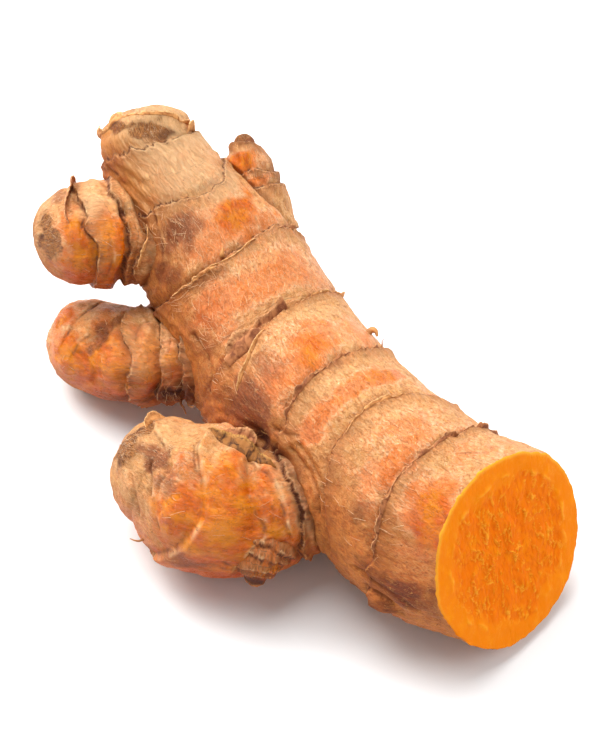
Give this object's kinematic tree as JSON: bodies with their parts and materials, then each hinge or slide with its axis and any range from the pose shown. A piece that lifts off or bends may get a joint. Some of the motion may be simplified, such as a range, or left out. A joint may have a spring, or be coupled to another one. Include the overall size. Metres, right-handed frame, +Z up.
{
  "type": "turmeric root",
  "caption": "Fresh turmeric root, a bent main stem with side fingers and one freshly cut end, lying on its underside.",
  "frame": {"origin": "under the middle of the root's box, on the surface it lies on", "axes": "+X along the main stem to the cut end, +Z up"},
  "size_m": [0.0787, 0.0466, 0.0328],
  "materials": {
    "root_skin": "fresh plant skin, papery and semi-matt, with a wet cut face"
  },
  "bodies": {
    "root": {"turmeric_rhizome": "root_skin"}
  },
  "joints": []
}
